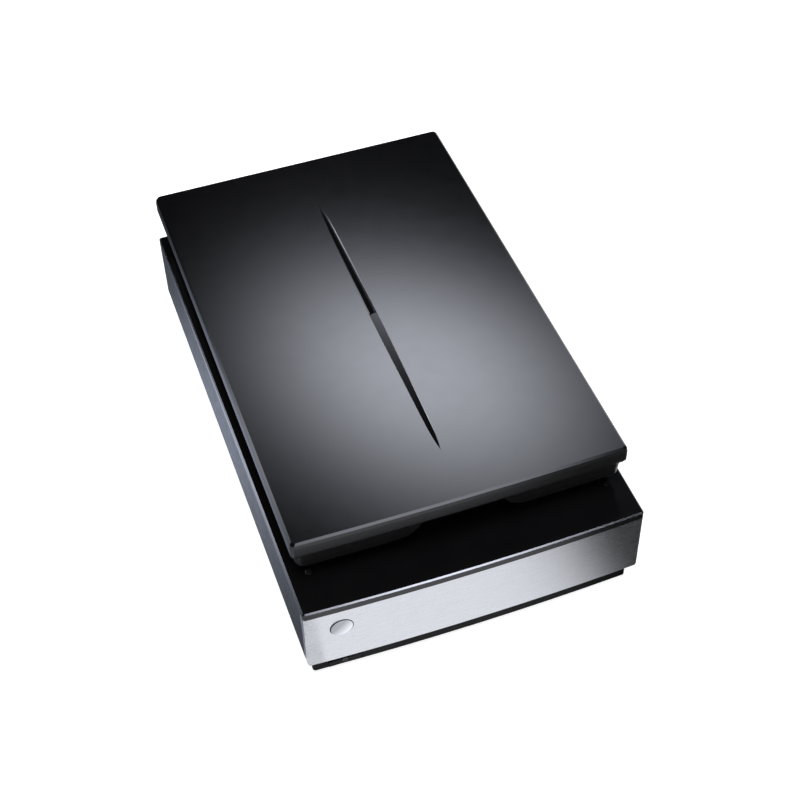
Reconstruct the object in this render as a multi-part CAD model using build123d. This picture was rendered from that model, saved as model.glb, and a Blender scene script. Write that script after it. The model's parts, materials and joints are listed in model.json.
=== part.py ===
from build123d import *
import math
import os

# A4-bed flatbed scanner with a film lamp in the lid. Millimetres, +Z up, -Y is the front.
# Origin: on the table, under the middle of the object's outer box.

os.makedirs("parts", exist_ok=True)

# Driving dimensions
WIDTH = 308.0            # base, side to side
DEPTH = 503.0            # middle of the bowed front to the lid's rear face
HEIGHT = 152.0           # table to lid top
HALF = WIDTH / 2
FRONT = -DEPTH / 2       # front of the fascia on the centre line
REAR = DEPTH / 2         # rear of the lid
BOW = 3.8                # how far the base's front stands forward at its middle
WALL = 2.5               # moulded wall

# Heights of the base
FOOT_H = 5.0
CASE_BOTTOM = 27.6
FASCIA_TOP = 94.4
DECK_TOP = 102.4
DECK_PLATE = 5.0
GLASS_T = 3.0

# Base plan
BASE_REAR = REAR - 3.0
PLINTH_HALF = HALF - 6.0
PLINTH_FRONT = FRONT + 8.5
PLINTH_REAR = BASE_REAR - 6.0
PLINTH_TOP = 34.0
FASCIA_T = 1.5
FASCIA_WRAP = FRONT + BOW + 8.0
CORNER_R = 2.5
DECK_EDGE = 1.2          # polished chamfer round the deck
FOOT_ROUND = 3.0

# Lid
LID_HALF = 150.5
LID_FRONT = FRONT + 35.5
LID_BOW = 2.1
LID_CORNER_R = 3.0
SKIRT_BOTTOM = 134.0
BAND_BOTTOM = 118.3
BAND_HALF = 147.5
BAND_FRONT = LID_FRONT + 1.3
BAND_REAR = 242.0
POD_HALF = 120.0         # the deep middle part of the lid's underside
POD_FRONT = -190.0
POD_REAR = 186.0
POD_BOTTOM = 110.3
LID_SKIN = 3.0
LIP_TOP = SKIRT_BOTTOM + 3.0
LID_SCREWS = [(x, y) for x in (-139.5, 139.5) for y in (-150.0, 20.0, 190.0)]
NOTCH_TOP, NOTCH_FOOT, NOTCH_DEPTH = 37.0, 60.0, 20.0
WINDOW_HALF, WINDOW_Y = 104.0, (-150.0, 130.0)

# Groove along the lid's middle
SLIT_FRONT, SLIT_REAR = -160.0, 180.5
SLIT_CREASE = 18.0
SLIT_HALF = 3.2
SLIT_TAPER = ((0.06, 0.45), (0.20, 0.83), (0.38, 1.0))      # shares of the way in and of the width
SLIT_DEPTH = 0.9
SLIT_EDGE, SLIT_EDGE_SHARE = 0.16, 0.08         # depth of the sloping edge and its share of the width
SLIT_REAR_ROLL = 14.0    # degrees, right side down
SLIT_CREASE_ROLL, SLIT_TIP_ROLL = -5.0, -10.0

# Scanning bed
BED_HALF = 110.0
BED_FRONT = -165.0
BED_REAR = 145.0
GLASS_LAP = 6.0
SCREW_SPOTS = [(x, y) for x in (-138.0, 138.0) for y in (-230.5, 234.0)]
PAD_SPOTS = [(x, y) for x in (-135.8, 135.8) for y in (-208.0, 200.0)]
FOOT_SPOTS = [(x, y) for x in (-118.0, 118.0) for y in (-205.0, 205.0)]

# Buttons and transport lock
START_X, START_Z, START_R = -122.0, 72.4, 9.7
START_GAP = 0.75
START_FACE = FRONT + BOW * (START_X / HALF) ** 2 - 0.4
POWER_X, POWER_Z = -119.4, 9.7
POWER_W, POWER_H = 30.0, 6.6
POWER_FACE = PLINTH_FRONT + BOW * (POWER_X / HALF) ** 2
PRESS = 1.2              # travel of both buttons
LOCK_X, LOCK_Z = -118.0, 60.0
LOCK_W, LOCK_H = 12.0, 8.0
LOCK_TRAVEL = 8.0

# Carriage and its drive
TRAVEL = 322.0
HOME_Y = 160.0
CARRIAGE_LEN = 80.0
CARRIAGE_HALF = 112.0
CARRIAGE_Z = (38.0, 90.0)
ROD_X, ROD_Z, ROD_R = -128.0, 62.0, 4.0
RAIL_X, RAIL_TOP = 119.0, 50.0
ROD_END = 226.0
BUSH_R = 6.5
MODULE = 0.8
GEAR_TEETH, PINION_TEETH = 40, 12
GEAR_Y, GEAR_Z = 211.0, 66.0
MOTOR_Y = 218.0
MOTOR_Z = GEAR_Z - math.sqrt((MODULE * (GEAR_TEETH + PINION_TEETH) / 2) ** 2 - (MOTOR_Y - GEAR_Y) ** 2)
PULLEY_R = 6.5           # to the belt's inner face
BELT_T = 1.4
BELT_X = (129.0, 135.0)
IDLER_Y = -216.0
PINION_X, GEAR_X = (137.0, 142.0), (137.5, 141.5)
LENS_Z = 74.0
LENSES = ((-20.0, 9.0), (20.0, 7.5))      # film lens and document lens: x, barrel radius

# Hinge
POST_X = 80.0
POST_W, POST_D = 18.0, 9.0
POST_FOOT = 44.0
PIN_Y, PIN_Z, PIN_R = 236.0, 112.0, 2.0
LIFT = 25.0

# Lid lamp drive
LAMP_HALF = 105.0
LAMP_LEN = 34.0
LID_ROD_X, LID_ROD_Z, LID_ROD_R = -130.0, 128.0, 3.0
LID_BELT_X, LID_PULLEY_R = 128.0, 5.0
LID_BELT_Z = (141.0, 145.0)
LID_PULLEY_Y = (-196.0, 214.0)

# Sockets on the rear panel
PANEL_HALF, PANEL_Z = 66.0, (37.0, 60.0)
BOARD_Z = 40.0
JACK_X, USB_X, LAMP_PORT_X = -46.0, -14.0, 26.0

CLEAR = 0.3              # gap between faces of pieces that move past each other


def front_y(x, front=FRONT, bow=BOW):
    """Y of a bowed front face at x."""
    return front + bow * (x / HALF) ** 2


def block(x, y, z):
    """Box between pairs of limits."""
    size = (x[1] - x[0], y[1] - y[0], z[1] - z[0])
    centre = ((x[0] + x[1]) / 2, (y[0] + y[1]) / 2, (z[0] + z[1]) / 2)
    return Pos(*centre) * Box(*size)


def rod_x(x, y, z, r):
    return Pos((x[0] + x[1]) / 2, y, z) * Rot(0, 90, 0) * Cylinder(r, x[1] - x[0])


def rod_y(x, y, z, r):
    return Pos(x, (y[0] + y[1]) / 2, z) * Rot(90, 0, 0) * Cylinder(r, y[1] - y[0])


def rod_z(x, y, z, r):
    return Pos(x, y, (z[0] + z[1]) / 2) * Cylinder(r, z[1] - z[0])


def plan(half, front, rear, bow, radius):
    """Plan outline whose front edge is an arc; front is its foremost point."""
    corner = front + bow * (half / HALF) ** 2
    edges = [
        ThreePointArc((-half, corner), (0, front), (half, corner)),
        Line((half, corner), (half, rear)),
        Line((half, rear), (-half, rear)),
        Line((-half, rear), (-half, corner)),
    ]
    outline = make_face(edges)
    return fillet(outline.vertices(), radius) if radius else outline


def slab(outline, z):
    return Pos(0, 0, z[0]) * extrude(outline, z[1] - z[0], dir=(0, 0, 1))


def rounded_foot(solid, z):
    """Rounds the two lower corners that the solid shows from the front."""
    room = block((-HALF, HALF), (FRONT - 1, REAR), z)
    low_edges = room.edges().filter_by(Axis.Y).sort_by(Axis.Z)[:2]
    return solid & fillet(low_edges, FOOT_ROUND)


def group(shapes):
    return Compound(children=list(shapes))


def coil_spring(radius, wire, pitch, height):
    """Coil spring with its axis along +Z from z = 0."""
    path = Helix(pitch, height, radius)
    profile = Plane(origin=path @ 0, z_dir=path % 0) * Circle(wire)
    return sweep(profile, path=path)


def spur_gear(teeth, width, bore, phase):
    """Straight-toothed gear along +Z; phase turns a tooth away from +X, in teeth."""
    pitch_r = MODULE * teeth / 2
    tip_r, root_r = pitch_r + 0.8 * MODULE, pitch_r - 1.2 * MODULE
    tip_half, root_half = 0.10, 0.24      # half-widths as fractions of the tooth pitch
    points = []
    for i in range(teeth):
        for r, offset in ((root_r, -root_half), (tip_r, -tip_half), (tip_r, tip_half), (root_r, root_half)):
            angle = 2 * math.pi * (i + phase + offset) / teeth
            points.append((r * math.cos(angle), r * math.sin(angle)))
    blank = extrude(make_face(Polyline(*points, close=True)), width)
    return blank - Pos(0, 0, width / 2) * Cylinder(bore, width + 2)


def belt_loop(radius, thickness, ends, width):
    """Flat belt round two equal pulleys on the local X axis, extruded along +Z."""
    middle, length = (ends[0] + ends[1]) / 2, ends[1] - ends[0]
    outer = SlotCenterToCenter(length, 2 * (radius + thickness))
    inner = SlotCenterToCenter(length, 2 * radius)
    return Pos(middle, 0, 0) * extrude(outer - inner, width)


def pulley(radius, flange, width, bore):
    """Flanged pulley along +Z."""
    rim = 0.8
    drum = Pos(0, 0, width / 2) * Cylinder(radius, width)
    low = Pos(0, 0, rim / 2) * Cylinder(flange, rim)
    high = Pos(0, 0, width - rim / 2) * Cylinder(flange, rim)
    return drum + low + high - Pos(0, 0, width / 2) * Cylinder(bore, width + 2)


# ---------------------------------------------------------------- base shells


def base_tray():
    """Bottom tray whose walls show as the dark plinth under the case."""
    outer = slab(plan(PLINTH_HALF, PLINTH_FRONT, PLINTH_REAR, BOW, CORNER_R), (FOOT_H, PLINTH_TOP))
    inner = plan(PLINTH_HALF - WALL, PLINTH_FRONT + WALL, PLINTH_REAR - WALL, BOW, 1.0)
    tray = outer - slab(inner, (FOOT_H + 2.0, PLINTH_TOP + 1))
    window_y = front_y(POWER_X, PLINTH_FRONT)
    half_w, half_h = POWER_W / 2 + 0.4, POWER_H / 2 + 0.4
    tray -= block((POWER_X - half_w, POWER_X + half_w), (window_y - 4, window_y + 6),
                  (POWER_Z - half_h, POWER_Z + half_h))
    for x, y in SCREW_SPOTS:
        tray -= rod_z(x, y, (FOOT_H - 1, FOOT_H + 3), 1.6)
    return tray


def fascia_band(z):
    """The layer of the case that the fascia fills: the front and a short wrap of each side."""
    outer = plan(HALF, FRONT, BASE_REAR, BOW, CORNER_R)
    skin = plan(HALF - FASCIA_T, FRONT + FASCIA_T, BASE_REAR + 20, BOW, CORNER_R - FASCIA_T)
    return (slab(outer, z) - slab(skin, z)) & block((-HALF, HALF), (FRONT, FASCIA_WRAP), z)


def case_shell():
    """Side and rear walls, with the inner wall that backs the fascia."""
    height = (CASE_BOTTOM, FASCIA_TOP)
    inner = plan(HALF - WALL - FASCIA_T, FRONT + FASCIA_T + WALL, BASE_REAR - WALL, BOW, 2)
    shell = slab(plan(HALF, FRONT, BASE_REAR, BOW, CORNER_R), height)
    shell = rounded_foot(shell, height) - fascia_band(height)
    shell -= slab(inner, (CASE_BOTTOM - 1, FASCIA_TOP + 1))
    for x, y in SCREW_SPOTS:
        wall_x = math.copysign(HALF - WALL, x)
        post = rod_z(x, y, (FOOT_H + 2.0, FASCIA_TOP), 4.5)
        rib = block(sorted((x, wall_x)), (y - 1.2, y + 1.2), (PLINTH_TOP + 2, FASCIA_TOP))
        shell += post + rib
        shell -= rod_z(x, y, (FOOT_H, FOOT_H + 14), 1.5)
    rear = (BASE_REAR - 6, BASE_REAR + 2)
    lock_x = (LOCK_X - LOCK_W / 2 - CLEAR, LOCK_X + LOCK_W / 2 + LOCK_TRAVEL + CLEAR)
    shell -= rod_y(START_X, (FRONT, FRONT + 14), START_Z, START_R + START_GAP)
    shell -= block((-PANEL_HALF, PANEL_HALF), rear, PANEL_Z)
    shell -= block((84, 91), rear, (46, 49))
    shell -= block(lock_x, rear, (LOCK_Z - LOCK_H / 2 - CLEAR, LOCK_Z + LOCK_H / 2 + CLEAR))
    return shell


def deck_frame():
    """Glossy top of the base, rebated for the glass and pierced for the hinge posts."""
    outer = slab(plan(HALF, FRONT, BASE_REAR, BOW, CORNER_R), (FASCIA_TOP, DECK_TOP))
    outer = chamfer(outer.faces().sort_by(Axis.Z)[-1].edges(), DECK_EDGE)
    inner = plan(HALF - WALL, FRONT + WALL, BASE_REAR - WALL, BOW, 3)
    deck = outer - slab(inner, (FASCIA_TOP - 1, DECK_TOP - DECK_PLATE))
    deck -= block((-BED_HALF, BED_HALF), (BED_FRONT, BED_REAR), (FASCIA_TOP, DECK_TOP + 1))
    lap = GLASS_LAP
    deck -= block((-BED_HALF - lap, BED_HALF + lap), (BED_FRONT - lap, BED_REAR + lap),
                  (DECK_TOP - GLASS_T, DECK_TOP + 1))
    for x in (-POST_X, POST_X):
        deck -= block((x - POST_W / 2 - CLEAR, x + POST_W / 2 + CLEAR),
                      (PIN_Y - POST_D / 2 - CLEAR, PIN_Y + POST_D / 2 + CLEAR), (FASCIA_TOP, DECK_TOP + 1))
    return deck


def document_glass():
    lap = GLASS_LAP - 0.2
    return block((-BED_HALF - lap, BED_HALF + lap), (BED_FRONT - lap, BED_REAR + lap),
                 (DECK_TOP - GLASS_T, DECK_TOP))


def front_fascia():
    """Brushed metal plate that wraps the two front corners."""
    height = (CASE_BOTTOM, FASCIA_TOP)
    plate = rounded_foot(fascia_band(height), height)
    return plate - rod_y(START_X, (FRONT - 2, FRONT + 12), START_Z, START_R + START_GAP)


def rear_panel():
    """Plate that carries the sockets, flush in the rear wall."""
    y = (BASE_REAR - 2.0, BASE_REAR)
    plate = block((-PANEL_HALF, PANEL_HALF), y, PANEL_Z)
    cut_y = (BASE_REAR - 4, BASE_REAR + 2)
    plate -= rod_y(JACK_X, cut_y, BOARD_Z + 7.0, 5.0)
    plate -= block((USB_X - 6.1, USB_X + 6.1), cut_y, (BOARD_Z + 1.5, BOARD_Z + 12.7))
    plate -= block((LAMP_PORT_X - 14.1, LAMP_PORT_X + 14.1), cut_y, (BOARD_Z + 1.5, BOARD_Z + 12.1))
    return plate


def rubber_feet():
    foot_r, stud_r = 11.0, 8.0
    feet = []
    for x, y in FOOT_SPOTS:
        foot = rod_z(x, y, (1.5, FOOT_H), foot_r) + rod_z(x, y, (0, 1.5), stud_r)
        feet.append(chamfer(foot.faces().sort_by(Axis.Z)[0].edges(), 0.5))
    return group(feet)


def lid_rest_pads():
    """Four small pads on the deck under the lid's corners."""
    pads = []
    for x, y in PAD_SPOTS:
        pad = rod_z(x, y, (DECK_TOP, DECK_TOP + 1.8), 3.3)
        pads.append(fillet(pad.faces().sort_by(Axis.Z)[-1].edges(), 0.8))
    return group(pads)


def pan_head_screw(x, y, seat, length):
    """Cross-recess screw driven upwards, its head under the seat."""
    head_r, head_h, shank_r = 2.8, 1.8, 1.5
    base = seat - head_h
    recess = (base - 0.7, base + 0.7)
    cross = block((x - 1.5, x + 1.5), (y - 0.3, y + 0.3), recess)
    cross += block((x - 0.3, x + 0.3), (y - 1.5, y + 1.5), recess)
    return rod_z(x, y, (base, seat), head_r) + rod_z(x, y, (seat, seat + length), shank_r) - cross


def case_screws():
    return group(pan_head_screw(x, y, FOOT_H, 14.0) for x, y in SCREW_SPOTS)


# ---------------------------------------------------------------- buttons and lock

def start_button():
    """Round button with a domed face, a flange behind the wall and a stem to its switch."""
    crown, sphere_r = 1.0, 60.0
    dome = Pos(START_X, START_FACE - crown + sphere_r, START_Z) * Sphere(sphere_r)
    cap = rod_y(START_X, (START_FACE - crown, START_FACE + 5.2), START_Z, START_R) & dome
    flange = rod_y(START_X, (START_FACE + 5.2, START_FACE + 6.4), START_Z, START_R + 1.6)
    stem = rod_y(START_X, (START_FACE + 6.4, START_FACE + 12.5), START_Z, 2.5)
    return cap + flange + stem


def power_button():
    """Oblong button in the plinth, with a flange and a stem inside the tray."""
    x = (POWER_X - POWER_W / 2, POWER_X + POWER_W / 2)
    z = (POWER_Z - POWER_H / 2, POWER_Z + POWER_H / 2)
    head = block(x, (POWER_FACE - 0.6, POWER_FACE + 3.5), z)
    head = fillet(head.edges().filter_by(Axis.Y), 1.0)
    flange_z = (FOOT_H + 2 + CLEAR, z[1] + 1.2)
    flange = block((x[0] - 1.2, x[1] + 1.2), (POWER_FACE + 3.5, POWER_FACE + 4.7), flange_z)
    stem = rod_y(POWER_X, (POWER_FACE + 4.7, POWER_FACE + 7.2), POWER_Z + 0.6, 1.8)
    return head + flange + stem


def transport_lock():
    """Sliding catch in the rear wall that holds the carriage for shipping."""
    x = (LOCK_X - LOCK_W / 2, LOCK_X + LOCK_W / 2)
    z = (LOCK_Z - LOCK_H / 2, LOCK_Z + LOCK_H / 2)
    wall_y = BASE_REAR - WALL - CLEAR
    body = block(x, (wall_y, BASE_REAR + 0.8), z)
    grip = [block((rib_x - 0.5, rib_x + 0.5), (BASE_REAR + 0.8, BASE_REAR + 1.4), (LOCK_Z - 3, LOCK_Z + 3))
            for rib_x in (LOCK_X - 3, LOCK_X, LOCK_X + 3)]
    plate = block((x[0] - 2, x[1] + 2), (wall_y - 1.6, wall_y), (z[0] - 2, z[1] + 2))
    hook = block((LOCK_X - 3, LOCK_X + 3), (wall_y - 8, wall_y - 1.6), (LOCK_Z - 2, LOCK_Z + 2))
    return body + grip + plate + hook


def push_switch(x, z, stem_end, board_x, board_z):
    """Tactile switch on a small board, its plunger just clear of a fully pressed stem."""
    plunger = rod_y(x, (stem_end + PRESS + 0.2, stem_end + 2.6), z, 1.6)
    body = block((x - 3, x + 3), (stem_end + 2.6, stem_end + 5.4), (z - 2.5, z + 2.5))
    board = block(board_x, (stem_end + 5.4, stem_end + 7.0), board_z)
    return plunger + body + board


def button_switches():
    """The start button's board, held off the wall on two pillars, and the power button's board."""
    stem_end = START_FACE + 12.5
    start = push_switch(START_X, START_Z, stem_end,
                        (START_X - 11, START_X + 18), (START_Z - 9, START_Z + 9))
    wall_y = START_FACE + 0.4 + FASCIA_T + WALL
    pillars = [rod_y(START_X + 14.5, (wall_y, stem_end + 5.4), START_Z + side * 7, 1.5) for side in (-1, 1)]
    floor = FOOT_H + 2.0
    power = push_switch(POWER_X, POWER_Z + 0.6, POWER_FACE + 7.2,
                        (POWER_X - 10, POWER_X + 10), (floor, 19.0))
    return group([start + pillars, power])


def status_light():
    """Light-emitting diode on the start button's board."""
    board_y = START_FACE + 12.5 + 5.4
    x = START_X + 8
    return rod_y(x, (board_y - 3.0, board_y), START_Z, 1.5) + Pos(x, board_y - 3.0, START_Z) * Sphere(1.5)


# ---------------------------------------------------------------- carriage and optics

def carriage_span():
    return (HOME_Y - CARRIAGE_LEN / 2, HOME_Y + CARRIAGE_LEN / 2)


def carriage_housing():
    """Optical box with a scan slot, an arm on the guide rod and a foot over the rail."""
    y = carriage_span()
    x = (-CARRIAGE_HALF, CARRIAGE_HALF)
    box = block(x, y, CARRIAGE_Z)
    box = fillet(box.edges().filter_by(Axis.Z), 3)
    box -= block((x[0] + WALL, x[1] - WALL), (y[0] + WALL, y[1] - WALL),
                 (CARRIAGE_Z[0] - 1, CARRIAGE_Z[1] - WALL))
    box -= block((-BED_HALF + 2, BED_HALF - 2), (HOME_Y - 4, HOME_Y + 4),
                 (CARRIAGE_Z[1] - 5, CARRIAGE_Z[1] + 1))
    arm = block((ROD_X - 8, -CARRIAGE_HALF), y, (ROD_Z - 8, ROD_Z + 8))
    arm -= rod_y(ROD_X, (y[0] - 1, y[1] + 1), ROD_Z, BUSH_R)
    arm -= block((ROD_X - 9, ROD_X + 9), (y[0] + 16, y[1] - 16), (ROD_Z - 9, ROD_Z + 9))
    foot = block((CARRIAGE_HALF, RAIL_X + 4), (HOME_Y - 14, HOME_Y + 14), (RAIL_TOP + 3.3, RAIL_TOP + 9))
    return box + arm + foot


def carriage_bushes():
    """Two sintered bushes pressed into the carriage arm."""
    y = carriage_span()
    spans = ((y[0] + 2, y[0] + 16), (y[1] - 16, y[1] - 2))
    return group(rod_y(ROD_X, s, ROD_Z, BUSH_R) - rod_y(ROD_X, (s[0] - 1, s[1] + 1), ROD_Z, ROD_R + 0.05)
                 for s in spans)


def carriage_glide():
    """Low-friction shoe under the carriage foot."""
    return block((RAIL_X - 3, RAIL_X + 3), (HOME_Y - 13, HOME_Y + 13), (RAIL_TOP + CLEAR, RAIL_TOP + 3.3))


def carriage_cover():
    """Bottom plate of the optical box."""
    y = carriage_span()
    return block((-CARRIAGE_HALF + 1, CARRIAGE_HALF - 1), (y[0] + 1, y[1] - 1),
                 (CARRIAGE_Z[0] - 1.6, CARRIAGE_Z[0]))


def light_guides():
    """Clear light guides on both sides of the scan slot."""
    guides = []
    for side in (-1, 1):
        y = sorted((HOME_Y + side * 7, HOME_Y + side * 15))
        guide = block((-BED_HALF, BED_HALF - 8), y, (CARRIAGE_Z[1], CARRIAGE_Z[1] + 5))
        guides.append(chamfer(guide.edges().filter_by(Axis.X).sort_by(Axis.Z)[-2:], 1.5))
    return group(guides)


def led_block():
    """Diode holder at the end of the light guides."""
    return block((BED_HALF - 8, BED_HALF), (HOME_Y - 16, HOME_Y + 16), (CARRIAGE_Z[1], CARRIAGE_Z[1] + 5.4))


def fold_mirrors():
    """Long first-surface mirrors that fold the light path inside the box."""
    places = ((HOME_Y, 46.0, 45.0), (HOME_Y - 28.0, 50.0, 20.0), (HOME_Y - 30.0, 78.0, -30.0))
    return group(Pos(0, y, z) * Rot(tilt, 0, 0) * Box(200, 14, 3) for y, z, tilt in places)


def lens_barrels():
    """Two stepped barrels along Y, one for film and one for documents."""
    barrels = []
    for x, radius in LENSES:
        y = (HOME_Y - 8, HOME_Y + 16)
        tube = rod_y(x, y, LENS_Z, radius) + rod_y(x, (y[0] + 8, y[0] + 14), LENS_Z, radius + 1.2)
        barrels.append(tube - rod_y(x, (y[0] - 1, y[1] + 1), LENS_Z, radius - 1.5))
    return group(barrels)


def lens_elements():
    """Glass at both ends of each barrel."""
    spans = ((HOME_Y - 7, HOME_Y - 3.5), (HOME_Y + 11, HOME_Y + 15))
    return group(rod_y(x, y, LENS_Z, radius - 1.5) for x, radius in LENSES for y in spans)


def sensor_board():
    """Image sensor on its circuit board, behind the lenses."""
    y = HOME_Y + 30
    board = block((-55, 55), (y, y + 1.6), (54, 86))
    sensor = block((-33, 33), (y - 4, y), (69, 79))
    return board + sensor


# ---------------------------------------------------------------- guides and drive

def guide_rod():
    return rod_y(ROD_X, (-ROD_END, ROD_END), ROD_Z, ROD_R)


def rod_holders():
    """Blocks on the tray that clamp the guide rod's ends."""
    holders = []
    for end in (-1, 1):
        y = sorted((end * (ROD_END - 10), end * ROD_END))
        holder = block((ROD_X - 8, ROD_X + 6), y, (FOOT_H + 2, ROD_Z + 8))
        holders.append(holder - rod_y(ROD_X, (y[0] - 1, y[1] + 1), ROD_Z, ROD_R))
    return group(holders)


def support_rail():
    """Rail on two legs under the carriage's far side."""
    y = (-ROD_END + 4, GEAR_Y - 14)
    top = block((RAIL_X - 4, RAIL_X + 4), y, (RAIL_TOP - 2, RAIL_TOP))
    web = block((RAIL_X - 1, RAIL_X + 1), y, (FOOT_H + 2, RAIL_TOP - 2))
    return top + web


def drive_bracket():
    """Steel plate that holds the motor, with the fixed shaft that the drive gear turns on."""
    plate = block((124, 126), (200, 236), (FOOT_H + 2, GEAR_Z + 12))
    plate -= rod_x((123, 127), MOTOR_Y, MOTOR_Z, 5.0)
    foot = block((126, 132), (200, 236), (FOOT_H + 2, FOOT_H + 4))
    shaft = rod_x((124, 144), GEAR_Y, GEAR_Z, 2.0)
    return plate + foot + shaft


def stepper_motor():
    """Round stepper can with its pilot boss and mounting flange."""
    can = rod_x((105.0, 123.0), MOTOR_Y, MOTOR_Z, 17.0)
    can = fillet(can.edges().sort_by(Axis.X)[0:1], 1.0)
    flange = block((123.0, 124.0), (MOTOR_Y - 9, MOTOR_Y + 9), (MOTOR_Z - 17, MOTOR_Z + 17))
    pilot = rod_x((124.0, 126.0), MOTOR_Y, MOTOR_Z, 4.9)
    return can + flange + pilot


def motor_pinion():
    """Pinion and the end of the motor shaft it is pressed on."""
    angle = math.degrees(math.atan2(GEAR_Z - MOTOR_Z, GEAR_Y - MOTOR_Y))
    teeth = Rot(0, 0, angle) * spur_gear(PINION_TEETH, PINION_X[1] - PINION_X[0], 0.9, 0.0)
    shaft = Pos(0, 0, (126.3 - PINION_X[0]) / 2 + 2.5) * Cylinder(1.0, PINION_X[1] - 126.3)
    turned = Location(Plane(origin=(PINION_X[0], MOTOR_Y, MOTOR_Z), x_dir=(0, 1, 0), z_dir=(1, 0, 0)))
    return turned * (teeth + shaft)


def drive_gear():
    """Reduction gear in one piece with the belt pulley."""
    angle = math.degrees(math.atan2(MOTOR_Z - GEAR_Z, MOTOR_Y - GEAR_Y))
    gear = Rot(0, 0, angle) * spur_gear(GEAR_TEETH, GEAR_X[1] - GEAR_X[0], 2.05, 0.5)
    drum = pulley(PULLEY_R - CLEAR, PULLEY_R + 2.6, 9.5, 2.05)
    at_gear = Location(Plane(origin=(GEAR_X[0], GEAR_Y, GEAR_Z), x_dir=(0, 1, 0), z_dir=(1, 0, 0)))
    at_drum = Location(Plane(origin=(GEAR_X[0] - 9.5, GEAR_Y, GEAR_Z), x_dir=(0, 1, 0), z_dir=(1, 0, 0)))
    return at_gear * gear + at_drum * drum


def idler_bracket():
    """Sliding bracket for the idler at the belt's far end, with its axle and a spring tab."""
    y = (IDLER_Y - 8, IDLER_Y + 14)
    plate = block((124.5, 126.5), y, (FOOT_H + 2, GEAR_Z + 8))
    axle = rod_x((126.5, 138), IDLER_Y, GEAR_Z, 2.0)
    foot = block((126.5, 134), y, (FOOT_H + 2, FOOT_H + 4))
    tab = block((126.5, 134), (y[1] - 2, y[1]), (FOOT_H + 4, FOOT_H + 12))
    return plate + axle + foot + tab


def tension_spring():
    """Spring that pulls the idler bracket and keeps the belt tight."""
    start = IDLER_Y + 14.0
    return Pos(130.5, start + 0.4, FOOT_H + 8) * Rot(-90, 0, 0) * coil_spring(2.6, 0.4, 1.6, 16.0)


def idler_pulley():
    drum = pulley(PULLEY_R - CLEAR, PULLEY_R + 2.6, 9.0, 2.05)
    return Location(Plane(origin=(127.5, IDLER_Y, GEAR_Z), x_dir=(0, 1, 0), z_dir=(1, 0, 0))) * drum


def drive_belt():
    """Toothed belt between the drive pulley and the idler."""
    loop = belt_loop(PULLEY_R, BELT_T, (IDLER_Y, GEAR_Y), BELT_X[1] - BELT_X[0])
    return Location(Plane(origin=(BELT_X[0], 0, GEAR_Z), x_dir=(0, 1, 0), z_dir=(1, 0, 0))) * loop


def belt_clamp():
    """Arm from the carriage foot that grips the belt's lower run."""
    run_z = (GEAR_Z - PULLEY_R - BELT_T, GEAR_Z - PULLEY_R)
    arm = block((RAIL_X + 4, BELT_X[1] + 2), (HOME_Y - 9, HOME_Y + 9), (RAIL_TOP + 3.3, run_z[0] - CLEAR))
    lip = block((BELT_X[1] + 0.6, BELT_X[1] + 2), (HOME_Y - 9, HOME_Y + 9),
                (run_z[0] - CLEAR, run_z[1] + 2))
    jaw = block((BELT_X[0], BELT_X[1] + 2), (HOME_Y - 9, HOME_Y + 9), (run_z[1] + CLEAR, run_z[1] + 2))
    return arm + lip + jaw


# ---------------------------------------------------------------- electronics

def main_board():
    """Controller board behind the carriage's home position, on pillars."""
    board = block((-64, 64), (206, BASE_REAR - 6), (BOARD_Z, BOARD_Z + 1.6))
    pillars = [rod_z(x, y, (FOOT_H + 2, BOARD_Z), 3.0) for x in (-58, 58) for y in (210, 236)]
    return board + pillars


def board_parts():
    """Chips and capacitors on the controller board."""
    top = BOARD_Z + 1.6
    chips = [block((x, x + w), (212, 212 + w), (top, top + 1.6))
             for x, w in ((-40, 16), (-12, 12), (12, 9))]
    cans = [rod_z(x, 214, (top, top + 9), 3.2) for x in (40, 49, 58)]
    return group(chips + cans)


def power_inlet():
    """Barrel socket for the low-voltage supply."""
    z = BOARD_Z + 7.0
    body = block((JACK_X - 4.8, JACK_X + 4.8), (BASE_REAR - 15, BASE_REAR - 3), (BOARD_Z + 1.6, z + 4.8))
    nose = rod_y(JACK_X, (BASE_REAR - 3, BASE_REAR + 0.4), z, 4.8)
    bore = rod_y(JACK_X, (BASE_REAR - 10, BASE_REAR + 2), z, 3.1)
    pin = rod_y(JACK_X, (BASE_REAR - 10, BASE_REAR - 1), z, 1.0)
    return body + nose - bore + pin


def usb_socket():
    """Square data socket with its contact tongue."""
    x, z = (USB_X - 6.0, USB_X + 6.0), (BOARD_Z + 1.6, BOARD_Z + 12.6)
    shell = block(x, (BASE_REAR - 16, BASE_REAR + 0.4), z)
    shell -= block((x[0] + 1.8, x[1] - 1.8), (BASE_REAR - 9, BASE_REAR + 2), (z[0] + 1.6, z[1] - 1.6))
    tongue = block((USB_X - 2.8, USB_X + 2.8), (BASE_REAR - 9, BASE_REAR - 1), (z[0] + 4.0, z[1] - 3.8))
    return shell + tongue


def lamp_socket():
    """Connector for the lamp lead of the lid."""
    x, z = (LAMP_PORT_X - 14.0, LAMP_PORT_X + 14.0), (BOARD_Z + 1.6, BOARD_Z + 12.0)
    shell = block(x, (BASE_REAR - 14, BASE_REAR + 0.4), z)
    return shell - block((x[0] + 2.5, x[1] - 2.5), (BASE_REAR - 6.5, BASE_REAR + 2),
                         (z[0] + 2.2, z[1] - 2.2))


# ---------------------------------------------------------------- hinge

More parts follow.
